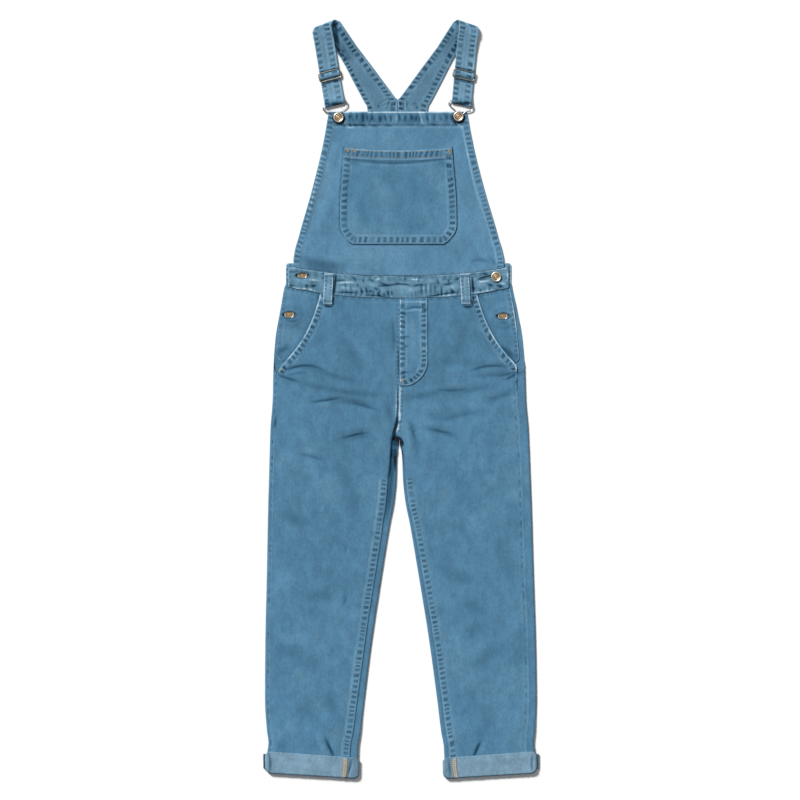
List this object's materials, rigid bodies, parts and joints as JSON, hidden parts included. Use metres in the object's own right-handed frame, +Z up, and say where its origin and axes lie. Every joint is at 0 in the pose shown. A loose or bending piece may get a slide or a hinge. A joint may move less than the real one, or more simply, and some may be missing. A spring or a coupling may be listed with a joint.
{
  "type": "dungarees",
  "caption": "Denim dungarees with a square bib, a patch pocket, crossed-back straps on wire buckles and turned-up hems, laid flat face up.",
  "frame": {"origin": "the middle of the laid-out garment's outline, on the floor", "axes": "+Y from the hems to the shoulders, +X to the wearer's left, +Z up from the floor, out of the garment's front"},
  "size_m": [0.5102, 1.4042, 0.0092],
  "materials": {
    "denim": "washed mid-blue denim, right side out",
    "denim_wrong_side": "the paler wrong side of the denim",
    "copper_button": "copper-coloured, satin",
    "nickel_wire": "bright nickel plate",
    "antique_bronze": "dark antique bronze, worn at its edges"
  },
  "bodies": {
    "root": {"back_bib": "denim", "back_leg_left": "denim", "back_leg_right": "denim", "back_waistband": "denim", "belt_loop_left": "denim", "belt_loop_right": "denim", "bib": "denim", "bib_button_left": "copper_button", "bib_button_right": "copper_button", "bib_pocket": "denim", "buckle_left": "nickel_wire", "buckle_right": "nickel_wire", "cuff_back_left": "denim_wrong_side", "cuff_back_right": "denim_wrong_side", "cuff_front_left": "denim_wrong_side", "cuff_front_right": "denim_wrong_side", "fly": "denim", "front_leg_left": "denim", "front_leg_right": "denim", "front_waistband": "denim", "hip_button_left": "copper_button", "hip_button_right": "copper_button", "hip_facing_left": "denim", "hip_facing_right": "denim", "slider_left": "antique_bronze", "slider_right": "antique_bronze", "strap_left": "denim", "strap_right": "denim", "waist_button_left": "copper_button", "waist_button_right": "copper_button"}
  },
  "joints": []
}
